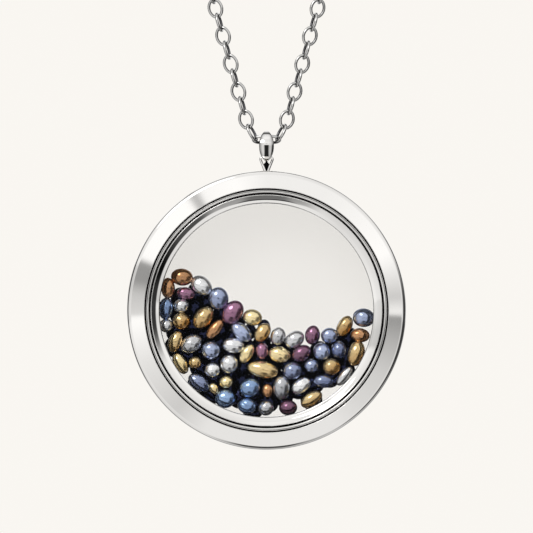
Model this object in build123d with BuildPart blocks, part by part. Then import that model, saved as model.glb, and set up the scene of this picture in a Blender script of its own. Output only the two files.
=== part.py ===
from build123d import *
from math import atan
from math import atan2
from math import cos
from math import degrees
from math import hypot
from math import pi
from math import radians
from math import sin
from math import sqrt
from math import tan
import os

# A round glass-fronted locket, half full of loose dyed pearls, on a fine cable chain.
# Millimetres. +Z is up, the locket faces -Y, and the origin is the middle of the clasp,
# where the closed necklace lies on the nape and from which all of it hangs.

# Locket case
locket_diameter = 30.0
locket_thickness = 7.2
bezel_width = 1.9
bezel_fall = 0.12
outer_edge_round = 0.35
inner_edge_round = 0.08
ledge_width = 0.85
back_lip = 0.8
back_lip_width = 0.5
back_edge_round = 0.15

# Screwed-in window: a raised rim, a groove, a sloping lip with a small step, then a bevel
thread_gap = 0.08
seat_gap = 0.05
rim_depth = 0.25
rim_width = 0.40
groove_depth = 0.65
groove_width = 0.16
lip_depth = 0.30
lip_width = 0.46
lip_fall = 0.24
lip_step = 0.06
bevel_depth = 0.78
bevel_width = 0.50
window_recess = 1.0

# Glass discs
glass_overlap = 0.7
glass_thickness = 0.8
glass_gap = 0.05

# Hanging loop, soldered to the top of the case
loop_wire = 0.28
loop_top_width = 1.48
loop_corner_radius = 0.30
loop_foot_radius = 0.20
loop_height = 1.54
loop_foot_depth = 0.35
loop_play = 0.15

# Bail
bail_height = 3.47
bail_width = 1.6
bail_wall = 0.27
bail_dome = 0.12
bail_tip_round = 0.20

# Cable chain
chain_length = 600.0
fall_angle = 15.4
wire_diameter = 0.30
link_length = 2.29
link_width = 1.75
link_end_radius = 0.58
link_gap = 0.125
bail_link_length = 3.25
bail_link_twist = 60.0
shoulder_angle = 62.0
shoulder_twist = -70.0
strand_twist = 15.0
quarter_turn = 90.0
links_each_side = 10
chain_arc_turns = 5
chain_end_gap = 0.20
corner_share = 0.45

# Clasp
clasp_diameter = 3.6
clasp_barrel_length = 8.4
clasp_end_round = 1.2
clasp_waist = 0.9
clasp_waist_depth = 0.25
eye_diameter = 2.3
eye_wire = 0.5
eye_sink = 0.35

# Pearls. The heap is charted in steps on a plan of the locket as seen from the front, on
# which the case is this many steps across. A step is shorter if the chamber needs that.
case_steps = 277.0
pearl_gap = 0.12
wall_gap = 0.15

# Front layer, row by row: across, up, length and width in steps, and the turn in degrees,
# anticlockwise
pearl_chart = {
    "gold": [
        (-63, -7.5, 24, 17, 50),
        (-85, -11, 16.5, 16, 0),
        (-14, -7.5, 18.5, 15.5, -15),
        (-4, -22.5, 20, 13.5, 55),
        (-91, -31.5, 21.5, 12.5, 70),
        (-19.5, -43.5, 20.5, 11.5, 58),
        (13, -44.5, 21.5, 15.5, -12),
        (-86, -53.5, 22, 12, -60),
        (-71.5, -52.5, 12, 11, 0),
        (-40.5, -72, 13, 12, 0),
        (-52.5, -78.5, 11, 8, -60),
        (-3.5, -59.5, 31, 16.5, -12),
        (65, -56.5, 17, 16, 0),
        (45, -89, 23, 13, 33),
        (78, -16, 21.5, 13.5, 60),
        (89.5, -43.5, 25, 16, 75),
    ],
    "bronze": [
        (-84.5, 33, 21, 16, -8),
        (-98.5, 22, 19.5, 13, 90),
        (-51.5, -19, 22, 11, 50),
        (1, -80.5, 13, 10, 90),
        (93.5, -25, 18.5, 13, -8),
    ],
    "silver": [
        (-65, 24.5, 22.5, 17, -42),
        (-85, 4, 14, 13.5, 0),
        (-100.5, -15.5, 13, 12.5, 0),
        (-75, -34, 22, 17, 30),
        (-33, -35.5, 21, 15, -5),
        (-54, -60, 15, 14, 0),
        (-37, -54, 18, 18, 0),
        (15, -77.5, 23, 16.5, 85),
        (-0.5, -98, 14.5, 14, 40),
        (11.5, -26.5, 17.5, 14, 75),
        (28, -29.5, 20, 15, 35),
        (34.5, -75.5, 20, 13.5, 35),
        (78, -66, 21.5, 9.5, 52),
    ],
    "slate": [
        (-48, 11.5, 22, 19, 90),
        (-25, -22, 24, 14, -42),
        (-55.5, -40.5, 18.5, 18, 0),
        (-67.5, -72.5, 23, 14, -35),
        (26, -60.5, 18.5, 17, 0),
        (45, -55.5, 14, 13, 0),
        (57, -71, 20, 12, -8),
        (63, -25.5, 16, 15, 0),
        (97, -7.5, 21, 17.5, -10),
        (55.5, -41.5, 17, 16.5, 0),
        (72.5, -40, 17, 15, 90),
    ],
    "blue": [
        (-100.5, 1.5, 21, 14, 85),
        (-41, -88.5, 19.5, 18, 0),
        (-16.5, -77.5, 20.5, 18.5, 30),
        (-19.5, -95.5, 17.5, 15, -10),
    ],
    "plum": [
        (-80.5, 16.5, 18, 11.5, -12),
        (-34, -2.5, 25, 19, 50),
        (-4.5, -41, 16, 12, 90),
        (21.5, -97.5, 17, 14.5, 0),
        (46, -25, 18.5, 14, 80),
        (35, -43.5, 20, 15, 30),
    ],
    "navy": [],
}

# Back layer: pearls on a slanted triangular grid of this pitch in steps, each a little off
# its place, wherever the front layer reaches at least this much higher
grid_pitch = 16.6
grid_slant = 22.0
grid_stray = 0.4
grid_drop = 9.0
grid_slimness = 0.16
back_dyes = [
    "navy",
    "slate",
    "navy",
    "bronze",
    "navy",
    "silver",
    "blue",
    "navy",
    "gold",
    "navy",
    "plum",
]

# Link geometry: an oval of four arcs along the wire's centre line
half_long = (link_length - wire_diameter) / 2
half_wide = (link_width - wire_diameter) / 2
bail_half_long = (bail_link_length - wire_diameter) / 2
wire_step = wire_diameter + link_gap
pitch = 2 * half_long - wire_step

# Bottom of the chain, measured from the level link inside the bail. That link is twisted
# about its long way. The shoulder link pulls on its end bow, in the plane of the strands,
# and the first straight link hangs on the shoulder link.
lean = radians(shoulder_angle)
shoulder_way = Vector(cos(lean), 0, sin(lean))
fall = radians(fall_angle)
strand_way = Vector(sin(fall), 0, cos(fall))
bail_link_turn = radians(bail_link_twist)
bail_link_up = Vector(0, -sin(bail_link_turn), cos(bail_link_turn))
pull = Vector(cos(lean), 0, 0) + bail_link_up * (sin(lean) * cos(bail_link_turn))
end_bow = Vector(bail_half_long - link_end_radius, 0, 0)
bow_point = end_bow + pull.normalized() * link_end_radius
shoulder_foot = Vector(bow_point.X, 0, bow_point.Z) - shoulder_way * wire_step
shoulder_top = shoulder_foot + shoulder_way * (2 * half_long)
turn_way = (shoulder_way + strand_way).normalized()
strand_foot = shoulder_top - turn_way * wire_step

# The two strands are tangents of the neck's arc, which takes up the rest of the length
lower_reach = bail_link_length / 2 + link_length - 2 * wire_diameter
strand_share = 1 / tan(fall) + pi / 2 + fall
neck_radius = (chain_length / 2 - lower_reach + strand_foot.X / sin(fall)) / strand_share
apex_z = -neck_radius - neck_radius / sin(fall)
bail_link_z = apex_z + strand_foot.X / tan(fall) - strand_foot.Z

# Heights of the bail, the loop and the locket, each hung from the piece above. The bail
# hangs with its bore just clear of the level link's upper arm.
bail_outer_radius = bail_height / 2
bore_radius = bail_outer_radius - bail_wall
bail_link_middle = Vector(0, -bow_point.Y, bail_link_z)
upper_arm = bail_link_middle + bail_link_up * half_wide
arm_reach = bore_radius - wire_diameter / 2 - link_gap
bail_z = upper_arm.Z - sqrt(arm_reach**2 - upper_arm.Y**2)
loop_top_z = bail_z - bore_radius + loop_play + loop_wire / 2
case_top_z = loop_top_z - loop_height
case_radius = locket_diameter / 2
locket_z = case_top_z - case_radius

# Depths in the locket, from the front face backwards, and its radii, from the rim inwards
front_y = -locket_thickness / 2
back_y = locket_thickness / 2
bezel_inner_radius = case_radius - bezel_width
chamber_radius = bezel_inner_radius - ledge_width
back_view_radius = chamber_radius - back_lip_width
ring_radius = bezel_inner_radius - thread_gap
rim_inner_radius = ring_radius - rim_width
groove_inner_radius = rim_inner_radius - groove_width
lip_inner_radius = groove_inner_radius - lip_width
view_radius = lip_inner_radius - bevel_width
glass_radius = view_radius + glass_overlap
glass_front_y = front_y + window_recess
window_back_y = glass_front_y + glass_thickness
ledge_y = window_back_y + seat_gap
back_glass_y = back_y - back_lip - glass_gap
chamber_front_y = window_back_y
chamber_back_y = back_glass_y - glass_thickness
chamber_depth = chamber_back_y - chamber_front_y

locket_plane = Plane.XY.offset(locket_z)
locket_axis = Axis((0, 0, locket_z), (0, 1, 0))

os.makedirs("parts", exist_ok=True)


def front_plane(height):
    """An upright plane seen from the front, with its origin at this height."""
    return Plane(origin=(0, 0, height), x_dir=(1, 0, 0), z_dir=(0, -1, 0))


def save(part, name):
    """Label a finished piece and write it."""
    part.label = name
    export_step(part, f"parts/{name}.step")


# Case: ring section, turned about the locket's own axis, with the loop soldered on
with BuildPart() as locket_body:
    with BuildSketch(locket_plane) as case_section:
        with BuildLine():
            Polyline(
                (bezel_inner_radius, front_y),
                (case_radius, front_y + bezel_fall),
                (case_radius, back_y - bezel_fall),
                (back_view_radius, back_y),
                (back_view_radius, back_y - back_lip),
                (chamber_radius, back_y - back_lip),
                (chamber_radius, ledge_y),
                (bezel_inner_radius, ledge_y),
                close=True,
            )
        make_face()
        outer_corners = case_section.vertices().group_by(Axis.X)[-1]
        fillet(outer_corners, outer_edge_round)
        bezel_corner = case_section.vertices().group_by(Axis.Y)[0].sort_by(Axis.X)[0]
        fillet(bezel_corner, inner_edge_round)
        back_corner = case_section.vertices().group_by(Axis.Y)[-1].sort_by(Axis.X)[0]
        fillet(back_corner, back_edge_round)
    revolve(axis=locket_axis)
    with BuildLine(front_plane(case_top_z)) as loop_path:
        FilletPolyline(
            (-loop_top_width / 2, loop_height),
            (0, -loop_foot_depth),
            (loop_top_width / 2, loop_height),
            radius=[loop_corner_radius, loop_foot_radius, loop_corner_radius],
            close=True,
        )
    loop_line = loop_path.wire()
    with BuildSketch(Plane(origin=loop_line @ 0, z_dir=loop_line % 0)):
        Circle(loop_wire / 2)
    sweep(path=loop_line)
save(locket_body.part, "locket_body")

# Window ring: stepped front, pocket for the glass behind the lip
with BuildPart() as window_ring:
    with BuildSketch(locket_plane):
        with BuildLine():
            Polyline(
                (ring_radius, window_back_y),
                (ring_radius, front_y + rim_depth),
                (rim_inner_radius, front_y + rim_depth),
                (rim_inner_radius, front_y + groove_depth),
                (groove_inner_radius, front_y + groove_depth),
                (groove_inner_radius, front_y + lip_depth),
                (lip_inner_radius, front_y + lip_depth + lip_fall),
                (lip_inner_radius, front_y + lip_depth + lip_fall + lip_step),
                (view_radius, front_y + bevel_depth),
                (view_radius, glass_front_y - glass_gap),
                (glass_radius + glass_gap, glass_front_y - glass_gap),
                (glass_radius + glass_gap, window_back_y),
                close=True,
            )
        make_face()
    revolve(axis=locket_axis)
save(window_ring.part, "window_ring")

with BuildPart() as front_glass:
    with BuildSketch(locket_plane):
        with Locations((glass_radius / 2, (glass_front_y + window_back_y) / 2)):
            Rectangle(glass_radius, glass_thickness)
    revolve(axis=locket_axis)
save(front_glass.part, "front_glass")

back_glass_radius = chamber_radius - glass_gap
with BuildPart() as back_glass:
    with BuildSketch(locket_plane):
        with Locations((back_glass_radius / 2, (chamber_back_y + back_glass_y) / 2)):
            Rectangle(back_glass_radius, glass_thickness)
    revolve(axis=locket_axis)
save(back_glass.part, "back_glass")

# Bail: a domed ring about the X axis, trimmed to its long outline seen from the front,
# which is half an ellipse above and two meeting arcs below
half_bail_width = bail_width / 2
with BuildPart() as bail:
    with BuildSketch(front_plane(bail_z)):
        with BuildLine():
            Line((half_bail_width, bore_radius), (-half_bail_width, bore_radius))
            Line(
                (-half_bail_width, bore_radius),
                (-half_bail_width, bail_outer_radius - bail_dome),
            )
            ThreePointArc(
                (-half_bail_width, bail_outer_radius - bail_dome),
                (0, bail_outer_radius),
                (half_bail_width, bail_outer_radius - bail_dome),
            )
            Line(
                (half_bail_width, bail_outer_radius - bail_dome),
                (half_bail_width, bore_radius),
            )
        make_face()
    revolve(axis=Axis((0, 0, bail_z), (1, 0, 0)))
    with BuildSketch(front_plane(bail_z)) as bail_outline:
        with BuildLine():
            EllipticalCenterArc((0, 0), half_bail_width, bail_outer_radius, 0, arc_size=180)
            lower_left = TangentArc(
                (-half_bail_width, 0), (0, -bail_outer_radius), tangent=(0, -1)
            )
            mirror(lower_left, about=Plane.YZ)
        make_face()
        fillet(bail_outline.vertices().sort_by(Axis.Y)[0], bail_tip_round)
    extrude(amount=bail_outer_radius, both=True, mode=Mode.INTERSECT)
save(bail.part, "bail")


def oval_link(half_length):
    """One link as a solid, long along X and flat in the XZ plane."""
    offset_end = half_length - link_end_radius
    side_radius = (offset_end**2 + half_wide**2 - link_end_radius**2) / (
        2 * (half_wide - link_end_radius)
    )
    offset_side = side_radius - half_wide
    end_half_turn = degrees(atan2(offset_side, offset_end))
    side_half_turn = quarter_turn - end_half_turn
    centres = [(offset_end, 0), (0, -offset_side), (-offset_end, 0), (0, offset_side)]
    arcs = [(link_end_radius, end_half_turn), (side_radius, side_half_turn)] * 2
    with BuildPart() as link:
        with BuildLine(Plane.XZ) as centre_line:
            for quarter, (centre, arc) in enumerate(zip(centres, arcs)):
                radius, half_turn = arc
                CenterArc(centre, radius, quarter_turn * quarter - half_turn, 2 * half_turn)
        oval = centre_line.wire()
        with BuildSketch(Plane(origin=oval @ 0, z_dir=oval % 0)):
            Circle(wire_diameter / 2)
        sweep(path=oval)
    return link.part


def link_place(centre, way, twist):
    """Where a link lies: its middle, its long way, and its turn about that way."""
    place = Plane(origin=centre, x_dir=way, z_dir=Vector(0, -1, 0).cross(way))
    return place.location * Location((0, 0, 0), (twist, 0, 0))


# Front stretch of the chain: the level link inside the bail, then one side, mirrored
hang = Vector(0, 0, bail_link_z)
shoulder_middle = hang + shoulder_foot + shoulder_way * half_long
strand_middle = hang + strand_foot + strand_way * half_long
side_places = [link_place(shoulder_middle, shoulder_way, shoulder_twist)]
for count in range(links_each_side):
    middle = strand_middle + strand_way * (pitch * count)
    twist = strand_twist + quarter_turn * (count % 2)
    side_places.append(link_place(middle, strand_way, twist))
plain_link = oval_link(half_long)
bail_link = oval_link(bail_half_long)
with BuildPart() as side_links:
    with Locations(*side_places):
        add(plain_link)
with BuildPart() as chain_front:
    with Locations(link_place(bail_link_middle, Vector(1, 0, 0), bail_link_twist)):
        add(bail_link)
    add(side_links.part)
    mirror(side_links.part, about=Plane.YZ)
save(chain_front.part, "chain_front")

# The rest of each strand: up one long straight run, then round the neck to the clasp,
# in straight runs that touch the neck's circle, with tangent arcs between them
clasp_half_length = clasp_barrel_length / 2 + eye_diameter - eye_sink
clasp_half_turn = atan(clasp_half_length / neck_radius)
arc_turn = (pi / 2 + fall - 2 * clasp_half_turn) / chain_arc_turns
last_middle = strand_middle + strand_way * (pitch * (links_each_side - 1))
strand_start = last_middle + strand_way * (link_length / 2 + chain_end_gap)
route = [(strand_start.X, strand_start.Z)]
corner_radius = neck_radius / cos(arc_turn / 2)
for corner in range(chain_arc_turns):
    angle = -fall + arc_turn * (corner + 0.5)
    route.append((corner_radius * cos(angle), corner_radius * sin(angle) - neck_radius))
last_way = pi / 2 - 2 * clasp_half_turn
eye_x = clasp_half_length + chain_end_gap * sin(last_way)
eye_z = -chain_end_gap * cos(last_way)
route.append((eye_x, eye_z))


def corner_radii(points):
    """For each corner: a share of its shorter run over the tangent of half its turn."""
    found = []
    for before, here, after in zip(points, points[1:], points[2:]):
        run_in = Vector(*here) - Vector(*before)
        run_out = Vector(*after) - Vector(*here)
        half_turn = radians(run_in.get_angle(run_out) / 2)
        found.append(corner_share * min(run_in.length, run_out.length) / tan(half_turn))
    return found


radii = corner_radii(route)
with BuildPart() as chain_right:
    with BuildLine(front_plane(0)) as strand_path:
        FilletPolyline(*route, radius=radii)
    strand_wire = strand_path.wire()
    with BuildSketch(Plane(origin=strand_wire @ 0, z_dir=strand_wire % 0)):
        Circle(link_width / 2)
    sweep(path=strand_wire)
save(chain_right.part, "chain_right")

with BuildPart() as chain_left:
    mirror(chain_right.part, about=Plane.YZ)
save(chain_left.part, "chain_left")

# Clasp: a plain barrel with a waist and an eye at each end
with BuildPart() as clasp:
    with BuildSketch(Plane.YZ.offset(-clasp_barrel_length / 2)):
        Circle(clasp_diameter / 2)
    extrude(amount=clasp_barrel_length)
    fillet(clasp.edges().filter_by(GeomType.CIRCLE), clasp_end_round)
    with BuildSketch(Plane.XZ):
        with Locations((0, clasp_diameter / 2)):
            Rectangle(clasp_waist, 2 * clasp_waist_depth)
    revolve(axis=Axis.X, mode=Mode.SUBTRACT)
    eye_middle = clasp_half_length - eye_diameter / 2
    with Locations((eye_middle, 0, 0), (-eye_middle, 0, 0)):
        Torus((eye_diameter - eye_wire) / 2, eye_wire / 2, rotation=(90, 0, 0))
save(clasp.part, "clasp")

# Pearls: two layers of ellipsoids, one against each glass, thinned to fit their layer
layer_depth = (chamber_depth - 3 * pearl_gap) / 2
layer_y = {
    "front": chamber_front_y + pearl_gap + layer_depth / 2,
    "back": chamber_back_y - pearl_gap - layer_depth / 2,
}


def reach(across, up, length, width, turn):
    """How far out from the chamber's middle a pearl of the chart comes, in steps."""
    lie = radians(turn) - atan2(up, across)
    return hypot(across, up) + hypot(length * cos(lie), width * sin(lie)) / 2


front_rows = [row for rows in pearl_chart.values() for row in rows]
farthest = max(reach(*row) for row in front_rows)
step = min(locket_diameter / case_steps, (chamber_radius - wall_gap) / farthest)


def grid_rows():
    """The back layer's pearls, as rows like the chart's."""
    found = []
    span = int(farthest / grid_pitch) + 2
    for column in range(-2 * span, 2 * span + 1):
        for line in range(-span, span + 1):
            along = grid_pitch * (column + line / 2)
            above = grid_pitch * line * sin(pi / 3)
            slant = radians(grid_slant)
            across = along * cos(slant) - above * sin(slant) + grid_stray * sin(5 * column + 3 * line)
            up = along * sin(slant) + above * cos(slant) + grid_stray * sin(7 * column - 4 * line)
            length = grid_pitch - 2 * grid_stray
            width = length * (1 - grid_slimness * sin(3 * column + 2 * line) ** 2)
            row = (across, up, length, width, 40 * column + 75 * line)
            covered = any(
                abs(front[0] - across) < grid_pitch and front[1] > up + grid_drop
                for front in front_rows
            )
            if covered and reach(*row) < farthest:
                found.append(row)
    return found


def pearl(layer, across, up, length, width, turn):
    """One pearl of the chart or the grid, as a placed solid."""
    half_length = (length * step - pearl_gap) / 2
    half_width = (width * step - pearl_gap) / 2
    half_thickness = min(half_width, layer_depth / 2)
    with BuildPart() as grain:
        Sphere(1)
        scale(by=(half_length, half_thickness, half_width))
    place = Location((across * step, layer_y[layer], locket_z + up * step))
    return place * Location((0, 0, 0), (0, -turn, 0)) * grain.part


back_rows = {dye: [] for dye in pearl_chart}
for count, row in enumerate(grid_rows()):
    back_rows[back_dyes[count % len(back_dyes)]].append(row)
for dye, rows in pearl_chart.items():
    grains = [pearl("front", *row) for row in rows]
    grains += [pearl("back", *row) for row in back_rows[dye]]
    with BuildPart() as pearls:
        add(grains)
    save(pearls.part, f"pearls_{dye}")

tube_volume = pi * (link_width / 2) ** 2 * strand_wire.length
print("corner radii", [round(radius, 1) for radius in radii])
print("tube volume and section times length", chain_right.part.volume, tube_volume)
print("neck radius", neck_radius, "bail", bail_z, "locket", locket_z)
print("level link", bail_link_middle, "pitch", pitch, "chamber depth", chamber_depth)
print("step", step, "back pearls", {dye: len(rows) for dye, rows in back_rows.items()})
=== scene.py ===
import bpy
import numpy as np
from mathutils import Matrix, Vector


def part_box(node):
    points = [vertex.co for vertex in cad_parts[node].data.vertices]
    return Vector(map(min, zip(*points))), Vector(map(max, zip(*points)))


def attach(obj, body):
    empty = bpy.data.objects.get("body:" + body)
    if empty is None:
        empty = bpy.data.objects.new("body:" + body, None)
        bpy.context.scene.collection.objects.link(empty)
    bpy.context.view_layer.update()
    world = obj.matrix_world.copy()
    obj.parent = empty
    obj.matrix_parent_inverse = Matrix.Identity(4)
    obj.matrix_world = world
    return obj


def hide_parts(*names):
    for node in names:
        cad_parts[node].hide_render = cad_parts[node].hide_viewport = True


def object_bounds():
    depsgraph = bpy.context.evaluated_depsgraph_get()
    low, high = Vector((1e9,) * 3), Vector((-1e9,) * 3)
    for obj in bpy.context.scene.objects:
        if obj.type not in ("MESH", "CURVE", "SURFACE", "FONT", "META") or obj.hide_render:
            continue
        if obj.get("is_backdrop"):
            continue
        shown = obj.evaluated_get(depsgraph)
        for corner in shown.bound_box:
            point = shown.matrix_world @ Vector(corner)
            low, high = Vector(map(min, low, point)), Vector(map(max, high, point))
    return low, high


# A floating locket on a fine cable chain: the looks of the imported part.
# Metres, +Z up, the window faces -Y, and the clasp at the nape is the origin.
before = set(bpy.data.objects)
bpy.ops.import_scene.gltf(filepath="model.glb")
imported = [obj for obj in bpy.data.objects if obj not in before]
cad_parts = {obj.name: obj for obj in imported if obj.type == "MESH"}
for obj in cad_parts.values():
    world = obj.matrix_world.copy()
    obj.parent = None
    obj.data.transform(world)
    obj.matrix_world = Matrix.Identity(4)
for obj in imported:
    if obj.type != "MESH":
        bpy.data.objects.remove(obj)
cadLow, cadHigh = (list(corner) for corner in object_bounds())
mm = 0.001

caseLow, caseHigh = (np.array(corner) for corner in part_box("locket_body"))
bailLow, bailHigh = (np.array(corner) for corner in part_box("bail"))
glassLow, glassHigh = (np.array(corner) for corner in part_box("front_glass"))
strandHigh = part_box("chain_right")[1]
locketZ = float(glassLow[2] + glassHigh[2]) / 2
print("frame loaded, locket centre at", round(locketZ / mm, 2), "mm")


# sRGB hex to linear colour: the lower part is a straight line, the rest a power of 2.4
def linearColour(hexText):
    channels = np.array([int(hexText[i:i + 2], 16) / 255 for i in (1, 3, 5)])
    linear = np.where(channels <= 0.04045, channels / 12.92, ((channels + 0.055) / 1.055) ** 2.4)
    return (*linear.tolist(), 1.0)


# Pairs of inputs of a Map Range node, for addNode. Of a Mix node, input 0 is the share, 2 and
# 3 are its numbers, and 6 and 7 its colours.
fromRange = ("From Min", "From Max")
toRange = ("To Min", "To Max")


# Adds a node: inputs are numbers, colours or the sockets that feed them, and several input
# names in a tuple take a row of values
def addNode(tree, kind, inputs=None, **settings):
    node = tree.nodes.new(kind)
    for name, value in settings.items():
        setattr(node, name, value)
    for names, values in (inputs or {}).items():
        if not isinstance(names, tuple):
            names, values = (names,), (values,)
        for name, value in zip(names, values):
            if isinstance(value, bpy.types.NodeSocket):
                tree.links.new(value, node.inputs[name])
            else:
                node.inputs[name].default_value = value
    return node


# Stops of a colour ramp from rows of place and brightness
def setStops(ramp, stops, interpolation="EASE"):
    ramp.color_ramp.interpolation = interpolation
    elements = ramp.color_ramp.elements
    while len(elements) > 1:
        elements.remove(elements[-1])
    for index, (place, value) in enumerate(stops):
        element = elements[0] if index == 0 else elements.new(place)
        element.position = place
        element.color = (value, value, value, 1)


# An empty material, its node tree and its shader
def newMaterial(name):
    material = bpy.data.materials.new(name)
    material.use_nodes = True
    return material, material.node_tree, material.node_tree.nodes["Principled BSDF"]


# Rows of vectors, each divided by its own length
def unitRows(vectors):
    return vectors / np.linalg.norm(vectors, axis=-1, keepdims=True)


# Equal angles round a full turn, without the last one that would repeat the first
def turnAngles(count):
    return np.linspace(0, 2 * np.pi, count, endpoint=False)


# Quads of a grid of rows by columns: each row's end joins its start, and the last row joins
# the first one, unless roundRows is off
def gridFaces(rows, columns, roundRows=True):
    row = np.arange(rows if roundRows else rows - 1)[:, None]
    column = np.arange(columns)[None, :]
    nextRow, nextColumn = (row + 1) % rows, (column + 1) % columns
    corners = (row * columns + column, row * columns + nextColumn,
               nextRow * columns + nextColumn, nextRow * columns + column)
    return np.stack([corner.ravel() for corner in corners], axis=1)


# Six times the volume inside quads: corner . (corner x corner), summed over both triangles
def signedVolume(points, faces):
    first, second, third, fourth = (points[faces[:, i]] for i in range(4))
    return np.sum(first * np.cross(second, third)) + np.sum(first * np.cross(third, fourth))


# One object from a stack of equal closed grids: points are (pieces, points, 3), and each
# attribute has a value for every point or one for every grid
def addPiece(name, points, faces, material, attributes=None):
    points = np.asarray(points, dtype=float)
    if points.ndim == 2:
        points = points[None]
    count, size = points.shape[:2]
    if signedVolume(points[0] - points[0].mean(axis=0), faces) < 0:
        faces = faces[:, ::-1]
    allFaces = (faces[None] + (np.arange(count) * size)[:, None, None]).reshape(-1, 4)
    corners = [[*dict.fromkeys(face)] for face in allFaces.tolist()]  # at a pole two corners are one
    mesh = bpy.data.meshes.new(name)
    mesh.from_pydata(points.reshape(-1, 3).tolist(), [], corners)
    mesh.polygons.foreach_set("use_smooth", np.ones(len(mesh.polygons), dtype=bool))
    for label, values in (attributes or {}).items():
        attribute = mesh.attributes.new(label, "FLOAT", "POINT")
        perPoint = values if len(values) == count * size else np.repeat(values, size)
        attribute.data.foreach_set("value", np.asarray(perPoint, dtype=np.float32))
    mesh.materials.append(material)
    mesh.update()
    piece = bpy.data.objects.new(name, mesh)
    bpy.context.scene.collection.objects.link(piece)
    return piece


# Camera: level, facing the window, as far off as its long lens needs for the photo's width
cameraSet = {
    "lens": 200.0,  # the lens and the sensor are in millimetres, as the camera takes them
    "sensor": 36.0,
    "clipStart": 0.01,
    "frameWidth": 57.31 * mm,  # width of the photo where the locket's rim is
    "rise": 4.72 * mm,  # the photo's middle lies this much above the locket's
    "rimDepth": 3.0 * mm,
}
cameraData = bpy.data.cameras.new("camera")
cameraData.lens = cameraSet["lens"]
cameraData.sensor_width = cameraSet["sensor"]
cameraData.clip_start = cameraSet["clipStart"]
camera = bpy.data.objects.new("camera", cameraData)
reach = cameraSet["frameWidth"] * cameraSet["lens"] / cameraSet["sensor"] + cameraSet["rimDepth"]
camera.location = (0, -reach, locketZ + cameraSet["rise"])
camera.rotation_euler = (np.pi / 2, 0, 0)
bpy.context.scene.collection.objects.link(camera)
bpy.context.scene.camera = camera
bpy.context.scene.view_settings.view_transform = "Standard"
print("camera placed", round(reach, 3), "m off")

# Studio: a warm white room with panels round the lens, and dark sides that draw the metal's lines
studioSet = {
    "backdrop": "#FBF8F3",
    "backdropStrength": 0.985,
    "glossStrength": 1.0,
    # panels: place on the way round the lens, from 9 o'clock through 6, 3 and 12, and brightness
    "round": [
        (0.000, 0.72), (0.017, 0.80), (0.020, 1.22), (0.075, 0.92), (0.115, 0.80), (0.140, 0.72),
        (0.180, 0.94), (0.330, 0.94), (0.367, 0.82), (0.409, 0.74), (0.450, 0.54), (0.474, 0.38),
        (0.481, 0.34), (0.485, 1.10), (0.505, 0.70), (0.542, 1.05), (0.560, 1.20), (0.670, 1.04),
        (0.750, 1.04), (0.790, 1.20), (0.837, 1.15), (0.842, 0.50), (0.850, 0.60), (0.856, 1.22),
        (0.947, 1.20), (0.952, 0.36), (0.975, 0.36), (0.990, 0.66), (1.000, 0.72),
    ],
    # angle away from the lens as a share of a half turn, and how much of the panels shows there
    "pattern": [(0.00, 1.00), (0.07, 1.00), (0.14, 0.35), (0.62, 0.35), (0.74, 0.90), (1.00, 0.90)],
    "plain": 0.95,  # brightness where the panels don't show
    # the same angle, and how much light comes from there: the lens itself is a dark opening
    "outwards": [
        (0.00, 0.08), (0.020, 0.08), (0.030, 1.00), (0.14, 1.00), (0.26, 0.95), (0.40, 0.92),
        (0.45, 0.12), (0.49, 0.05), (0.60, 0.06), (0.70, 0.35), (0.79, 0.95), (1.00, 1.00),
    ],
    # light let in above and below the dark sides: heights where it begins and is full, the
    # same of the angle away from the lens, and how bright it is
    "openings": {"height": (0.30, 0.75), "away": (0.60, 0.53), "light": 0.85},
    # a dark strip below the lens: heights, half widths and forward shares where it begins and
    # is full, what it leaves of the light, and how that rises between two lower heights
    "strip": {"height": (-0.49, -0.57), "half": (0.22, 0.11), "front": (0.05, 0.35),
              "low": (-0.66, -0.82), "leaves": (0.03, 0.45)},
    # dark cards: the way to each, the cosines where it begins and is full, what it leaves of the light
    "cards": [
        ((0.849, -0.515, -0.119), (0.86, 0.980), 0.05),
        ((0.675, -0.515, -0.528), (0.915, 0.975), 0.10),
        ((0.060, -0.500, -0.864), (0.87, 0.965), 0.45),
    ],
    # softboxes: the way to each, the cosines where it begins and is full, and its strength
    "softboxes": [
        ((-0.395, -0.707, 0.586), (0.965, 0.988), 4.4),
        ((0.00, -0.30, 0.954), (0.93, 0.975), 0.15),
    ],
}
world = bpy.data.worlds.new("studio")
bpy.context.scene.world = world
world.use_nodes = True
tree = world.node_tree
tree.nodes.clear()
way = addNode(tree, "ShaderNodeTexCoord").outputs["Generated"]
axes = addNode(tree, "ShaderNodeSeparateXYZ", {"Vector": way}).outputs
height = addNode(tree, "ShaderNodeMath", {0: axes["Z"]}, operation="ABSOLUTE").outputs[0]
aside = addNode(tree, "ShaderNodeMath", {0: axes["X"]}, operation="ABSOLUTE").outputs[0]
towards = addNode(tree, "ShaderNodeMath", {0: axes["Y"], 1: -1.0}, operation="MULTIPLY").outputs[0]
turn = addNode(tree, "ShaderNodeMath", {0: axes["Z"], 1: axes["X"]}, operation="ARCTAN2").outputs[0]
turnShare = addNode(tree, "ShaderNodeMapRange", {"Value": turn, fromRange: (-np.pi, np.pi)}).outputs[0]
away = addNode(tree, "ShaderNodeMath", {0: towards}, operation="ARCCOSINE").outputs[0]
awayShare = addNode(tree, "ShaderNodeMath", {0: away, 1: np.pi}, operation="DIVIDE").outputs[0]
roundRamp = addNode(tree, "ShaderNodeValToRGB", {"Fac": turnShare})
outwardRamp = addNode(tree, "ShaderNodeValToRGB", {"Fac": awayShare})
patternRamp = addNode(tree, "ShaderNodeValToRGB", {"Fac": awayShare})
setStops(roundRamp, studioSet["round"], "LINEAR")
setStops(outwardRamp, studioSet["outwards"])
setStops(patternRamp, studioSet["pattern"])
blend = {0: patternRamp.outputs["Color"], 2: studioSet["plain"], 3: roundRamp.outputs["Color"]}
panel = addNode(tree, "ShaderNodeMix", blend, data_type="FLOAT").outputs[0]


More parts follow.
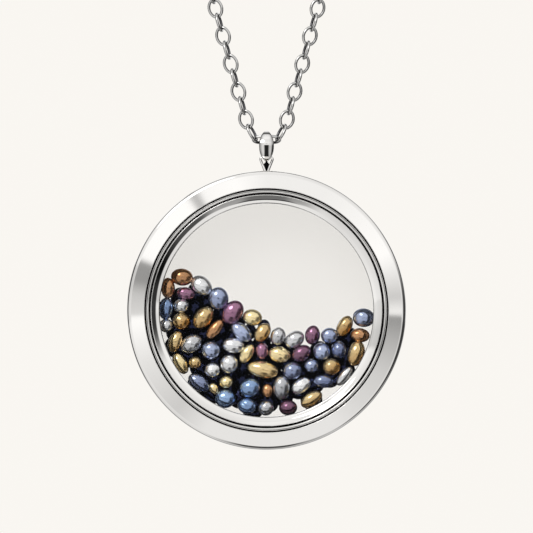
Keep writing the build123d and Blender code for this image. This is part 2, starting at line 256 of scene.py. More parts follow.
# A share times a smooth step for each value between its pair of edges
def timesSteps(share, steps):
    for value, edges in steps:
        inputs = {"Value": value, fromRange: edges}
        step = addNode(tree, "ShaderNodeMapRange", inputs, interpolation_type="SMOOTHSTEP").outputs[0]
        share = addNode(tree, "ShaderNodeMath", {0: share, 1: step}, operation="MULTIPLY").outputs[0]
    return share


# The light is panel x max(outwards, openings) x strip x cards, plus the softboxes
openings, strip = studioSet["openings"], studioSet["strip"]
opened = timesSteps(openings["light"], [(height, openings["height"]), (awayShare, openings["away"])])
sides = addNode(tree, "ShaderNodeMath", {0: outwardRamp.outputs["Color"], 1: opened}, operation="MAXIMUM")
light = addNode(tree, "ShaderNodeMath", {0: panel, 1: sides.outputs[0]}, operation="MULTIPLY").outputs[0]
within = timesSteps(1.0, [(axes["Z"], strip["height"]), (aside, strip["half"]), (towards, strip["front"])])
rise = {"Value": axes["Z"], fromRange: strip["low"], toRange: strip["leaves"]}
leftOver = addNode(tree, "ShaderNodeMapRange", rise, interpolation_type="SMOOTHSTEP").outputs[0]
below = addNode(tree, "ShaderNodeMix", {0: within, 2: 1.0, 3: leftOver}, data_type="FLOAT").outputs[0]
light = addNode(tree, "ShaderNodeMath", {0: light, 1: below}, operation="MULTIPLY").outputs[0]
spots = [(*card[:2], (1.0, card[2]), "MULTIPLY") for card in studioSet["cards"]]
spots += [(*box[:2], (0.0, box[2]), "ADD") for box in studioSet["softboxes"]]
for spotWay, edges, results, operation in spots:
    aim = {0: way, 1: unitRows(np.array(spotWay)).tolist()}
    facing = addNode(tree, "ShaderNodeVectorMath", aim, operation="DOT_PRODUCT").outputs["Value"]
    inputs = {"Value": facing, fromRange: edges, toRange: results}
    spot = addNode(tree, "ShaderNodeMapRange", inputs, interpolation_type="SMOOTHSTEP").outputs[0]
    light = addNode(tree, "ShaderNodeMath", {0: light, 1: spot}, operation=operation).outputs[0]
glow = {"Color": light, "Strength": studioSet["glossStrength"]}
roomGlow = addNode(tree, "ShaderNodeBackground", glow).outputs[0]
plain = {"Color": linearColour(studioSet["backdrop"]), "Strength": studioSet["backdropStrength"]}
backdrop = addNode(tree, "ShaderNodeBackground", plain).outputs[0]
seen = addNode(tree, "ShaderNodeLightPath").outputs["Is Camera Ray"]
mixed = addNode(tree, "ShaderNodeMixShader", {0: seen, 1: roomGlow, 2: backdrop}).outputs[0]
addNode(tree, "ShaderNodeOutputWorld", {"Surface": mixed})

# Lamps: two large soft discs that face the locket
lampSet = {
    "key": {"place": (-0.55, -0.75, 0.35), "size": 0.5, "power": 6.0},
    "fill": {"place": (0.8, -0.5, -0.1), "size": 0.6, "power": 2.0},
}
for name, values in lampSet.items():
    lampData = bpy.data.lights.new(name, "AREA")
    lampData.shape = "DISK"
    lampData.size = values["size"]
    lampData.energy = values["power"]
    lamp = bpy.data.objects.new(name, lampData)
    lamp.location = values["place"]
    east, north, up = np.array([0, 0, locketZ]) - values["place"]  # from the lamp to the locket
    tilt = np.pi / 2 + np.arctan2(up, np.hypot(east, north))
    lamp.rotation_euler = (tilt, 0, np.arctan2(north, east) - np.pi / 2)
    lamp.visible_camera = False
    lamp.visible_glossy = False  # the softboxes are mirrored in their stead
    bpy.context.scene.collection.objects.link(lamp)

# Floor: a disc of matte paper, whose grain takes away any shine. The grain is drawn coarser
# than the real one, which would be too fine to show.
floorSet = {"drop": 70 * mm, "radius": 0.5, "sides": 96, "colour": "#F4F1EB", "roughness": 0.9,
            "grain": 2.0 * mm, "grainStrength": 0.05, "grainDepth": 0.2 * mm}
floorMaterial, tree, shader = newMaterial("matte_paper_floor")
place = addNode(tree, "ShaderNodeTexCoord").outputs["Object"]
grain = addNode(tree, "ShaderNodeTexNoise", {"Vector": place, "Scale": 1 / floorSet["grain"]}).outputs["Fac"]
shader.inputs["Base Color"].default_value = linearColour(floorSet["colour"])
shader.inputs["Roughness"].default_value = floorSet["roughness"]
relief = {"Height": grain, "Strength": floorSet["grainStrength"], "Distance": floorSet["grainDepth"]}
tree.links.new(addNode(tree, "ShaderNodeBump", relief).outputs[0], shader.inputs["Normal"])
ring = turnAngles(floorSet["sides"])
rimPoints = np.stack([np.cos(ring), np.sin(ring), 0 * ring], axis=1) * floorSet["radius"]
floorMesh = bpy.data.meshes.new("floor")
floorPoints = rimPoints + [0, 0, cadLow[2] - floorSet["drop"]]
floorMesh.from_pydata(floorPoints.tolist(), [], [list(range(len(ring)))])
floorMesh.materials.append(floorMaterial)
floor = bpy.data.objects.new("floor", floorMesh)
bpy.context.scene.collection.objects.link(floor)
floor.visible_glossy = False  # the metal mirrors the studio's cards and panels instead
floor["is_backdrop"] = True
print("studio lit")

noiseSpan = (0.3, 0.7)  # a noise texture hardly leaves these values


# What both steels share: an attribute paints shade by sinking the colour to a dark one, a noise spreads the
#  roughness, and the relief bends the surface
def finishSteel(tree, shader, values, attribute, noise, relief):
    dark = addNode(tree, "ShaderNodeAttribute", attribute_name=attribute).outputs["Fac"]
    colours = {0: dark, 6: linearColour(values["colour"]), 7: linearColour(values["shadeColour"])}
    colour = addNode(tree, "ShaderNodeMix", colours, data_type="RGBA").outputs[2]
    tree.links.new(colour, shader.inputs["Base Color"])
    shader.inputs["Metallic"].default_value = 1.0
    polish = {"Value": noise, fromRange: noiseSpan, toRange: values["roughness"]}
    tree.links.new(addNode(tree, "ShaderNodeMapRange", polish).outputs[0], shader.inputs["Roughness"])
    bumps = {"Height": relief, "Strength": values["reliefStrength"], "Distance": values["reliefDepth"]}
    tree.links.new(addNode(tree, "ShaderNodeBump", bumps).outputs[0], shader.inputs["Normal"])


# Stainless steel, machined and mirror polished: crisp grey reflections, with the faintest
#  turning lines round the case, and painted shade, nearly black, in the grooves and recesses, on the bail's
#  sides and on the loop's solder.
# The real lines are too fine to show, so they are drawn coarser.
steelSet = {"colour": "#ECEAE7", "shadeColour": "#0B0B0C", "roughness": (0.03, 0.05), "cloud": 3.0 * mm,
            "lineSpacing": 0.12 * mm, "reliefStrength": 0.25, "reliefDepth": 0.0008 * mm}
caseSteel, tree, shader = newMaterial("stainless_steel_mirror_polished")
place = addNode(tree, "ShaderNodeTexCoord").outputs["Object"]
centred = addNode(tree, "ShaderNodeVectorMath", {0: place, 1: (0, 0, -locketZ)}, operation="ADD").outputs[0]
axes = addNode(tree, "ShaderNodeSeparateXYZ", {"Vector": centred}).outputs
flatPlace = addNode(tree, "ShaderNodeCombineXYZ", {"X": axes["X"], "Z": axes["Z"]}).outputs[0]
radius = addNode(tree, "ShaderNodeVectorMath", {0: flatPlace}, operation="LENGTH").outputs["Value"]
spacing = {"W": radius, "Scale": 1 / steelSet["lineSpacing"], "Detail": 2.0}
lines = addNode(tree, "ShaderNodeTexNoise", spacing, noise_dimensions="1D").outputs["Fac"]
cloudSize = {"Vector": place, "Scale": 1 / steelSet["cloud"], "Detail": 3.0}
clouds = addNode(tree, "ShaderNodeTexNoise", cloudSize).outputs["Fac"]
finishSteel(tree, shader, steelSet, "paintedShade", clouds, lines)

# Stainless steel wire, drawn and tumbled: bright and a little softer than the case, with
#  dimples that are drawn coarser than the real ones, which are too fine to show, and painted
#  shade in grey on the links' inner side
wireSet = {"colour": "#C8C7C5", "shadeColour": "#565658", "inner": (0.0, 0.8), "roughness": (0.05, 0.10),
           "dimple": 0.25 * mm, "reliefStrength": 0.3, "reliefDepth": 0.002 * mm}
wireSteel, tree, shader = newMaterial("stainless_steel_tumbled_wire")
place = addNode(tree, "ShaderNodeTexCoord").outputs["Object"]
dimpleSize = {"Vector": place, "Scale": 1 / wireSet["dimple"], "Detail": 2.0}
dimples = addNode(tree, "ShaderNodeTexNoise", dimpleSize).outputs["Fac"]
finishSteel(tree, shader, wireSet, "inner", dimples, dimples)

# Float glass, cut and polished: clear, with a faint painted shadow towards its upper left rim and a mirror
# at a slant
glassSet = {"clear": "#FEFEFE", "paintedShadow": "#FBFBFB", "mirror": "#FFFFFF", "roughness": 0.02, "mirrorIOR": 1.35,
            "shadowMiddle": (2.0 * mm, 0, -3.5 * mm), "shadowFrom": (7 * mm, 15 * mm)}
clearGlass, tree, shader = newMaterial("clear_float_glass")
shader.inputs["Base Color"].default_value = linearColour(glassSet["mirror"])
shader.inputs["Metallic"].default_value = 1.0
shader.inputs["Roughness"].default_value = glassSet["roughness"]
place = addNode(tree, "ShaderNodeTexCoord").outputs["Object"]
# The painted shadow grows with the distance from a middle to the right of and below the locket's
shadowMiddle = (np.array([0, 0, locketZ]) + glassSet["shadowMiddle"]).tolist()
ends = {0: place, 1: shadowMiddle}
fromMiddle = addNode(tree, "ShaderNodeVectorMath", ends, operation="DISTANCE").outputs["Value"]
spread = {"Value": fromMiddle, fromRange: glassSet["shadowFrom"]}
paintedShadow = addNode(tree, "ShaderNodeMapRange", spread, interpolation_type="SMOOTHSTEP").outputs[0]
tints = {0: paintedShadow, 6: linearColour(glassSet["clear"]), 7: linearColour(glassSet["paintedShadow"])}
tint = addNode(tree, "ShaderNodeMix", tints, data_type="RGBA").outputs[2]
through = addNode(tree, "ShaderNodeBsdfTransparent", {"Color": tint}).outputs[0]
leaving = addNode(tree, "ShaderNodeNewGeometry").outputs["Backfacing"]
inOut = (glassSet["mirrorIOR"], 1 / glassSet["mirrorIOR"])  # Fresnel takes 1 / IOR on the way out
bending = addNode(tree, "ShaderNodeMapRange", {"Value": leaving, toRange: inOut}).outputs[0]
slant = addNode(tree, "ShaderNodeFresnel", {"IOR": bending}).outputs[0]
both = addNode(tree, "ShaderNodeMixShader", {0: slant, 1: through, 2: shader.outputs[0]}).outputs[0]
tree.links.new(both, tree.nodes["Material Output"].inputs["Surface"])

# Dyed freshwater pearls with a metallic lustre: a bright skin in two tones of the dye, that
#  swirl together, with painted light on the upper left side and painted shade on the lower right, and fine
#  ripples
pearlSet = {
    "pearls_gold": ("#FFECB4", "#AC7828"),
    "pearls_bronze": ("#D49C68", "#50280E"),
    "pearls_silver": ("#FFFFFF", "#777A82"),
    "pearls_slate": ("#B2BEDC", "#22366C"),
    "pearls_blue": ("#94B2DA", "#0E2E70"),
    "pearls_plum": ("#A67492", "#3A1030"),
    "pearls_navy": ("#46506E", "#171D30"),
}
lustreSet = {
    "metallic": 0.90, "specular": 0.25, "roughness": 0.09, "coatRoughness": 0.05,
    "swirl": 1.2 * mm, "swirlBend": 0.8,
    # paintedLightShare: how much the painted light and shade on a pearl's sides add to the tone
    "swirlShare": 0.45, "paintedLightShare": 0.50,  # what the swirl and the upward side add to the tone
    "toneSpan": (-0.1, 1.35),  # the tones that are all dark and all light
    "ripple": 0.7 * mm, "rippleStrength": 0.5, "rippleDepth": 0.09 * mm,
    # heapShade is the colour of the painted shade towards the heap's middle, and rim tells where it gives
    # way to the dye
    "heapShade": "#20243C", "rim": (0.08, 0.40),  # outward shares where the dye begins and is full
}


# The dye's tone is the pearl's own plus shares of a swirl and of painted light on the side
#  towards the upper left. Towards the heap the dye and the clear coat end in a deep colour, painted shade
#  for where hardly any light comes.
def pearlMaterial(name, light, dark):
    material, tree, shader = newMaterial(name)
    place = addNode(tree, "ShaderNodeTexCoord").outputs["Object"]
    tone, paintedLight, outward = (addNode(tree, "ShaderNodeAttribute", attribute_name=label).outputs["Fac"]
                             for label in ("tone", "paintedLight", "outward"))
    swirlSize = {"Vector": place, "Scale": 1 / lustreSet["swirl"], "Detail": 3.0,
                 "Distortion": lustreSet["swirlBend"]}
    swirl = addNode(tree, "ShaderNodeTexNoise", swirlSize).outputs["Fac"]
    for part, share in ((swirl, lustreSet["swirlShare"]), (paintedLight, lustreSet["paintedLightShare"])):
        inputs = {0: part, 1: share, 2: tone}
        tone = addNode(tree, "ShaderNodeMath", inputs, operation="MULTIPLY_ADD").outputs[0]
    share = addNode(tree, "ShaderNodeMapRange", {"Value": tone, fromRange: lustreSet["toneSpan"]}).outputs[0]
    dyes = {0: share, 6: linearColour(dark), 7: linearColour(light)}
    dyed = addNode(tree, "ShaderNodeMix", dyes, data_type="RGBA").outputs[2]
    rim = {"Value": outward, fromRange: lustreSet["rim"]}
    lit = addNode(tree, "ShaderNodeMapRange", rim, interpolation_type="SMOOTHSTEP").outputs[0]
    depths = {0: lit, 6: linearColour(lustreSet["heapShade"]), 7: dyed}
    colour = addNode(tree, "ShaderNodeMix", depths, data_type="RGBA").outputs[2]
    tree.links.new(colour, shader.inputs["Base Color"])
    tree.links.new(lit, shader.inputs["Coat Weight"])
    shader.inputs["Coat Roughness"].default_value = lustreSet["coatRoughness"]
    shader.inputs["Metallic"].default_value = lustreSet["metallic"]
    shader.inputs["Roughness"].default_value = lustreSet["roughness"]
    shader.inputs["Specular IOR Level"].default_value = lustreSet["specular"]
    rippleSize = {"Vector": place, "Scale": 1 / lustreSet["ripple"], "Detail": 2.0}
    ripple = addNode(tree, "ShaderNodeTexNoise", rippleSize).outputs["Fac"]
    bumps = {"Height": ripple, "Strength": lustreSet["rippleStrength"], "Distance": lustreSet["rippleDepth"]}
    tree.links.new(addNode(tree, "ShaderNodeBump", bumps).outputs[0], shader.inputs["Normal"])
    return material


print("materials mixed")

# Chain: real links, alternately face-on and edge-on, from the bail round to the clasp
chainSet = {
    "tubeRadius": 0.875 * mm,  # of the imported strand, whose outer side tells the neck's radius
    "belowBailTop": 0.942 * mm,  # the level link's middle under the bail's top
    "fallAngle": np.radians(15.4),  # of a strand from the vertical
    "pitch": 1.565 * mm,
    "wire": 0.32 * mm,
    "linkWidth": 1.76 * mm,
    "endRadius": 0.58 * mm,  # of a link's end bow
    "gap": 0.03 * mm,  # between the wires of two links
    "levelLength": 3.25 * mm,  # of the link that lies in the bail
    "levelTwist": np.radians(60),
    "shoulderAngle": np.radians(62),
    "shoulderTwist": np.radians(-70),
    "strandTwist": np.radians(15),
    "shownEachSide": 10,
    "near": (32, 12),  # points round a shown link and about its wire
    "far": (16, 6),  # the same for all other links
    "claspX": 5.42 * mm,  # where the last link's end lies in the clasp's eye
    "claspSag": 0.125,  # how far the last link hangs below the eye, as a share of its half length
    "settle": 12 * mm,  # length over which the strand comes down to the eye
}
halfWide = (chainSet["linkWidth"] - chainSet["wire"]) / 2
wireStep = chainSet["wire"] + chainSet["gap"]
halfLong = (chainSet["pitch"] + wireStep) / 2


# A link in its own axes: the wire's line is four arcs, and the point whose outward normal has
# the angle n is the arc's centre plus its radius times (cos n, sin n); the wire is a circle
# about that line. Returns along the link, out of its plane, across it.
def linkShape(halfLength, around, aboutWire):
    endRadius = chainSet["endRadius"]
    endShift = halfLength - endRadius
    sideRadius = (endShift ** 2 + halfWide ** 2 - endRadius ** 2) / (2 * (halfWide - endRadius))
    sideShift = sideRadius - halfWide
    endTurn = np.arctan2(sideShift, endShift)
    spread = np.linspace(-1, 1, around // 4, endpoint=False)
    ends, sides = spread * endTurn, spread * (np.pi / 2 - endTurn)
    normal = np.concatenate([ends, sides + np.pi / 2, ends + np.pi, sides + 1.5 * np.pi])
    onEnd = np.repeat([1, 0, 1, 0], around // 4)
    middleX = np.where(onEnd, endShift * np.sign(np.cos(normal)), 0)
    middleZ = np.where(onEnd, 0, -sideShift * np.sign(np.sin(normal)))
    about = turnAngles(aboutWire)
    reach = np.where(onEnd, endRadius, sideRadius)[:, None] + chainSet["wire"] / 2 * np.cos(about)
    x = middleX[:, None] + reach * np.cos(normal)[:, None]
    z = middleZ[:, None] + reach * np.sin(normal)[:, None]
    y = np.broadcast_to(chainSet["wire"] / 2 * np.sin(about), x.shape)
    return np.stack([x, y, z], axis=-1).reshape(-1, 3)


# How much painted shade each point of a link takes on its inner side: minus the cosine of its
#  angle about the wire, from 0 at the first value of "inner" to 1 at the second
def innerShadeShare(around, aboutWire):
    low, high = wireSet["inner"]
    return np.tile(np.clip((-np.cos(turnAngles(aboutWire)) - low) / (high - low), 0, 1), around)


# Order of the points of a mirrored link: its line runs the other way round
def mirroredOrder(around, aboutWire):
    return np.arange(around * aboutWire).reshape(around, aboutWire)[::-1].ravel()


# Links laid along a line: each point is the middle plus its share of the link's way, of the
# face's normal and of their cross product, the last two turned by the twist about the way
def layLinks(shape, middles, ways, twists):
    face = np.array([0.0, 1.0, 0.0])
    across = np.cross(ways, face)
    cosine, sine = np.cos(twists)[:, None], np.sin(twists)[:, None]
    turnedAcross = across * cosine - face * sine
    turnedFace = face * cosine + across * sine
    return (middles[:, None] + shape[None, :, :1] * ways[:, None]
            + shape[None, :, 1:2] * turnedFace[:, None] + shape[None, :, 2:] * turnedAcross[:, None])


fallAngle = chainSet["fallAngle"]
levelHalf = (chainSet["levelLength"] - chainSet["wire"]) / 2
shoulderWay = np.array([np.cos(chainSet["shoulderAngle"]), 0, np.sin(chainSet["shoulderAngle"])])
strandWay = np.array([np.sin(fallAngle), 0, np.cos(fallAngle)])
# The shoulder link pulls on the level link's end bow: the bow's middle plus its radius along
# the shoulder's way, as far as that lies in the twisted level link's plane
levelUp = np.array([0, -np.sin(chainSet["levelTwist"]), np.cos(chainSet["levelTwist"])])
pull = unitRows(np.array([shoulderWay[0], 0, 0]) + levelUp * (shoulderWay @ levelUp))
bowPoint = np.array([levelHalf - chainSet["endRadius"], 0, 0]) + pull * chainSet["endRadius"]
shoulderFoot = bowPoint * [1, 0, 1] - shoulderWay * wireStep
strandFoot = shoulderFoot + shoulderWay * 2 * halfLong - unitRows(shoulderWay + strandWay) * wireStep
hang = np.array([0, 0, bailHigh[2] - chainSet["belowBailTop"]])
levelMiddle = hang - bowPoint * [0, 1, 0]
neckRadius = strandHigh[0] - chainSet["tubeRadius"]
touch = np.array([np.cos(fallAngle), 0, -1 - np.sin(fallAngle)]) * neckRadius
straight = (touch - hang - strandFoot) @ strandWay - halfLong
firstMiddle = touch - strandWay * straight

# The last link hangs in the clasp's eye, and the links are spread evenly up to it
lastTurn = np.arccos((chainSet["claspX"] + halfLong) / neckRadius)
runLength = straight + neckRadius * (lastTurn + fallAngle)
steps = int(round(runLength / chainSet["pitch"] / 2 - 0.5)) * 2 + 1  # odd, so that the last link is edge-on
along = np.arange(steps + 1) * runLength / steps
angle = -fallAngle + np.maximum(along - straight, 0) / neckRadius
onLine = (along < straight)[:, None]
lineMiddles = firstMiddle + strandWay * along[:, None]
arcMiddles = np.stack([neckRadius * np.cos(angle), 0 * angle, neckRadius * (np.sin(angle) - 1)], axis=1)
arcWays = np.stack([-np.sin(angle), 0 * angle, np.cos(angle)], axis=1)
middles = np.where(onLine, lineMiddles, arcMiddles)
ways = np.where(onLine, strandWay, arcWays)
nearEnd = np.clip((along - runLength + chainSet["settle"]) / chainSet["settle"], 0, 1)
middles[:, 2] -= (halfLong * chainSet["claspSag"] + middles[-1, 2]) * nearEnd ** 2 * (3 - 2 * nearEnd)
twists = np.arange(steps + 1) % 2 * np.pi / 2 + chainSet["strandTwist"] * (1 - nearEnd)
shown = chainSet["shownEachSide"]
mirror = np.array([-1.0, 1.0, 1.0])

# The stretch beside the bail: the level link, and on each side the shoulder link and ten more
shape = linkShape(halfLong, *chainSet["near"])
levelShape = linkShape(levelHalf, *chainSet["near"])
levelTwist = np.array([chainSet["levelTwist"]])
levelLink = layLinks(levelShape, levelMiddle[None], np.array([[1.0, 0, 0]]), levelTwist)
shoulderMiddle = hang + shoulderFoot + shoulderWay * halfLong
shoulder = layLinks(shape, shoulderMiddle[None], shoulderWay[None], np.array([chainSet["shoulderTwist"]]))
rightFront = np.concatenate([shoulder, layLinks(shape, middles[:shown], ways[:shown], twists[:shown])])
order = mirroredOrder(*chainSet["near"])
frontLinks = np.concatenate([levelLink, rightFront, (rightFront * mirror)[:, order]])
# A mirrored link takes the same painted shade on its inner side, because that follows the angle about the
# wire alone
nearInnerShade = {"inner": np.tile(innerShadeShare(*chainSet["near"]), len(frontLinks))}
nearFaces = gridFaces(*chainSet["near"])
chainFront = addPiece("cable_chain_front", frontLinks, nearFaces, wireSteel, nearInnerShade)

# The rest of both sides, with fewer faces to a link
shape = linkShape(halfLong, *chainSet["far"])
rightRest = layLinks(shape, middles[shown:], ways[shown:], twists[shown:])
leftRest = (rightRest * mirror)[:, mirroredOrder(*chainSet["far"])]
farInnerShade = {"inner": np.tile(innerShadeShare(*chainSet["far"]), len(rightRest))}
farFaces = gridFaces(*chainSet["far"])
chainRight = addPiece("cable_chain_right", rightRest, farFaces, wireSteel, farInnerShade)
chainLeft = addPiece("cable_chain_left", leftRest, farFaces, wireSteel, farInnerShade)
for piece, node in ((chainFront, "chain_front"), (chainRight, "chain_right"), (chainLeft, "chain_left")):
    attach(piece, "chain")
    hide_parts(node)
print("chain linked:", 1 + 2 * (steps + 2), "links, pitch", round(runLength / steps / mm, 4), "mm")

# Pearls: each packed pearl's place, lie and size, with a baroque skin of its own
grainSet = {
    "around": 36,
    "along": 24,
    "grow": (0.13 * mm, 0.05 * mm, 0.13 * mm),  # of a front pearl: along, through and across
    "growBack": (0.27 * mm, 0.0, 0.31 * mm),  # of a back pearl, none of it near the locket's axis
    "middle": (2.0 * mm, 4.0 * mm),  # distances from the axis where that begins and is full
    "growOuter": 0.15 * mm,  # of a back pearl near the wall, along and across
    "outer": (8.5 * mm, 10.0 * mm),  # distances where that begins and is full
    "waves": (2.0, 3.0, 4.5),
    "swell": 0.022,  # it, the dent and the crease are shares of a half size
    "phases": 6.28,  # the most that a wave is shifted, about a full turn
    "dents": 2,
    "dent": 0.09,
    "dentSpread": (0.05, 0.25),
    "creasedShare": 0.3,  # of the pearls
    "crease": 0.05,
    "creaseWidth": 0.10,
    "creaseWays": (0.3, 1.0, 1.0),  # keeps most creases lengthwise
    "makeUp": 0.8,  # share of the middle cut that is given back, so that a pearl keeps its size
    "seed": 11,
    # lightFrom: the way that the painted light on each pearl comes from
    "lightFrom": (-0.5, 0.87),  # right and up, the side that takes the light tone
}
samePlace = 1e-7  # vertices nearer than this are one


# One row for each pearl of a node: its middle, its long way in the window's plane, and its
# half sizes along, across and through. Vertices that share a place are joined, then the
# lowest label spreads over touching triangles until each pearl has one label.
def pearlsOf(node):
    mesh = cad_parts[node].data
    points = np.empty(len(mesh.vertices) * 3)
    mesh.vertices.foreach_get("co", points)
    points = points.reshape(-1, 3)
    corners = np.empty(len(mesh.loops), dtype=np.int64)
    mesh.loops.foreach_get("vertex_index", corners)
    places = np.round(points / samePlace).astype(np.int64)
    _, firsts, same = np.unique(places, axis=0, return_index=True, return_inverse=True)
    triangles = same.ravel()[corners].reshape(-1, 3)
    points = points[firsts]
    label = np.arange(len(points))
    while True:
        lowest = label[triangles].min(axis=1)
        spread = label.copy()
        for corner in range(3):
            np.minimum.at(spread, triangles[:, corner], lowest)
        spread = spread[spread]
        if (spread == label).all():
            break
        label = spread
    rows = []
    for one in np.unique(label):
        cloud = points[label == one]
        middle = (cloud.min(axis=0) + cloud.max(axis=0)) / 2
        flat = (cloud - middle)[:, [0, 2]]
        lie = np.linalg.eigh(flat.T @ flat)[1]
        half = np.abs(flat @ lie).max(axis=0)
        longOne = int(half[1] >= half[0])
        through = np.abs(cloud[:, 1] - middle[1]).max()
        rows.append([*middle, *lie[:, longOne], half[longOne], half[1 - longOne], through])
    return np.array(rows)


# Directions over a ball: a pole, rows of latitude by columns of longitude, and a pole; the
# grid's first and last rows of corners all go to the poles
def ballGrid(around, along):
    latitude = np.linspace(0, np.pi, along + 1)[1:-1, None]
    longitude = turnAngles(around)[None, :]
    rows = np.stack([np.cos(latitude) + 0 * longitude, np.sin(latitude) * np.cos(longitude),
                     np.sin(latitude) * np.sin(longitude)], axis=-1).reshape(-1, 3)
    corners = gridFaces(along + 1, around, False) - around + 1
    faces = np.clip(corners, 0, len(rows) + 1)
    return np.concatenate([[[1.0, 0, 0]], rows, [[-1.0, 0, 0]]]), faces


# How much is cut from a unit ball at each direction, for each pearl. A swell is 1 plus a
# cosine along a random way, a dent a bell curve about a random place, and a crease a narrow
# bell curve about a great circle.
def skinCuts(count, draws):
    cut = np.zeros((count, len(directions)))
    for waves in grainSet["waves"]:
        swellWay = unitRows(draws.normal(size=(count, 3)))
        phase = draws.uniform(0, grainSet["phases"], (count, 1))
        cut += grainSet["swell"] / waves * (1 + np.cos(waves * swellWay @ directions.T + phase))
    for _ in range(grainSet["dents"]):
        near = unitRows(draws.normal(size=(count, 3))) @ directions.T
        depth = grainSet["dent"] * draws.uniform(0, 1, (count, 1)) ** 2
        cut += depth * np.exp(-(1 - near) / draws.uniform(*grainSet["dentSpread"], (count, 1)))
    sideWay = unitRows(draws.normal(size=(count, 3)) * grainSet["creaseWays"])
    creased = (draws.uniform(size=(count, 1)) < grainSet["creasedShare"]) * grainSet["crease"]
    cut += creased * np.exp(-(sideWay @ directions.T / grainSet["creaseWidth"]) ** 2)
    return cut - np.median(cut, axis=1, keepdims=True) * grainSet["makeUp"]


# A distance's place between two others, from 0 to 1
def placeBetween(distance, ends):
    return np.clip((distance - ends[0]) / (ends[1] - ends[0]), 0, 1)


# A skin over each pearl: its middle plus the ball's direction times 1 less the cut and the
# grown half sizes, along the pearl's long way, through the locket and across
def pearlSkins(rows, draws):
    cut = skinCuts(len(rows), draws)
    fromAxis = np.hypot(rows[:, :1], rows[:, 2:3] - locketZ)
    growBack = np.array(grainSet["growBack"]) * placeBetween(fromAxis, grainSet["middle"])
    growBack = growBack + placeBetween(fromAxis, grainSet["outer"]) * grainSet["growOuter"] * [1, 0, 1]
    halves = rows[:, [5, 7, 6]] + np.where(rows[:, 1:2] > 0, growBack, grainSet["grow"])
    skin = directions[None] * (1 - cut)[:, :, None] * halves[:, None]
    longWay = np.stack([rows[:, 3], 0 * rows[:, 3], rows[:, 4]], axis=1)
    shortWay = np.stack([-rows[:, 4], 0 * rows[:, 3], rows[:, 3]], axis=1)
    face = np.array([0.0, 1.0, 0.0])
    return (rows[:, None, :3] + skin[:, :, :1] * longWay[:, None] + skin[:, :, 1:2] * face
            + skin[:, :, 2:] * shortWay[:, None])


# How far each direction of each pearl points to where the light comes from, which sets its painted
#  light and shade: the way's shares along and across the pearl times the direction's
def towardsLight(rows):
    right, up = grainSet["lightFrom"]
    alongShare = right * rows[:, 3:4] + up * rows[:, 4:5]
    acrossShare = up * rows[:, 3:4] - right * rows[:, 4:5]
    return directions[:, 0] * alongShare + directions[:, 2] * acrossShare


heapMiddle = (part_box("front_glass")[1][1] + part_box("back_glass")[0][1]) / 2
directions, ballFaces = ballGrid(grainSet["around"], grainSet["along"])
for index, (node, (light, dark)) in enumerate(pearlSet.items()):
    dye = node.replace("pearls_", "")
    draws = np.random.default_rng(grainSet["seed"] + index)
    rows = pearlsOf(node)
    skins = pearlSkins(rows, draws)
    # Painted shade falls on each pearl's side that faces the heap's middle
    towardsGlass = np.where(rows[:, 1:2] > heapMiddle, directions[:, 1], -directions[:, 1])
    # tone is each pearl's own shade of its dye; paintedLight and outward carry the painted light and shade
    labels = {"tone": draws.uniform(0, 1, len(rows)), "outward": towardsGlass.ravel(),
              "paintedLight": towardsLight(rows).ravel()}
    material = pearlMaterial(dye + "_dyed_pearl", light, dark)
    piece = addPiece("pearls_dyed_" + dye, skins, ballFaces, material, labels)
    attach(piece, "locket")
    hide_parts(node)
    print(node, len(rows), "pearls")

# Case and window ring: profiles turned about the locket's axis
turnSet = {
    "around": 240,
    "ease": 4,  # steps in an eased corner
    "guard": 0.012 * mm,  # how far past the corner's ends the guard points lie
}
caseFront = float(caseLow[1])
caseRadius = float(caseHigh[0])


# A closed outline with each corner traded for a parabola that touches both its sides, and a
# guard point just beyond each end, so that the flats stay flat under smooth shading
def easedOutline(corners, rounds):
    corners, rounds = np.array(corners, dtype=float), np.array(rounds, dtype=float)[:, None]
    before = unitRows(np.roll(corners, 1, axis=0) - corners)
    after = unitRows(np.roll(corners, -1, axis=0) - corners)
    start, end = (corners + before * rounds)[:, None], (corners + after * rounds)[:, None]
    share = np.linspace(0, 1, turnSet["ease"] + 1)[None, :, None]
    bend = (1 - share) ** 2 * start + 2 * share * (1 - share) * corners[:, None] + share ** 2 * end
    firstGuard = start + before[:, None] * turnSet["guard"]
    lastGuard = end + after[:, None] * turnSet["guard"]
    return np.concatenate([firstGuard, bend, lastGuard], axis=1).reshape(-1, 2)


# Turned about the locket's axis: a profile point of radius r and depth y goes to r cos a, y, r sin a
def turned(profile):
    angle = turnAngles(turnSet["around"])[:, None]
    x = profile[None, :, 0] * np.cos(angle)
    z = profile[None, :, 0] * np.sin(angle) + locketZ
    y = np.broadcast_to(profile[None, :, 1], x.shape)
    return np.stack([x, y, z], axis=-1).reshape(-1, 3)


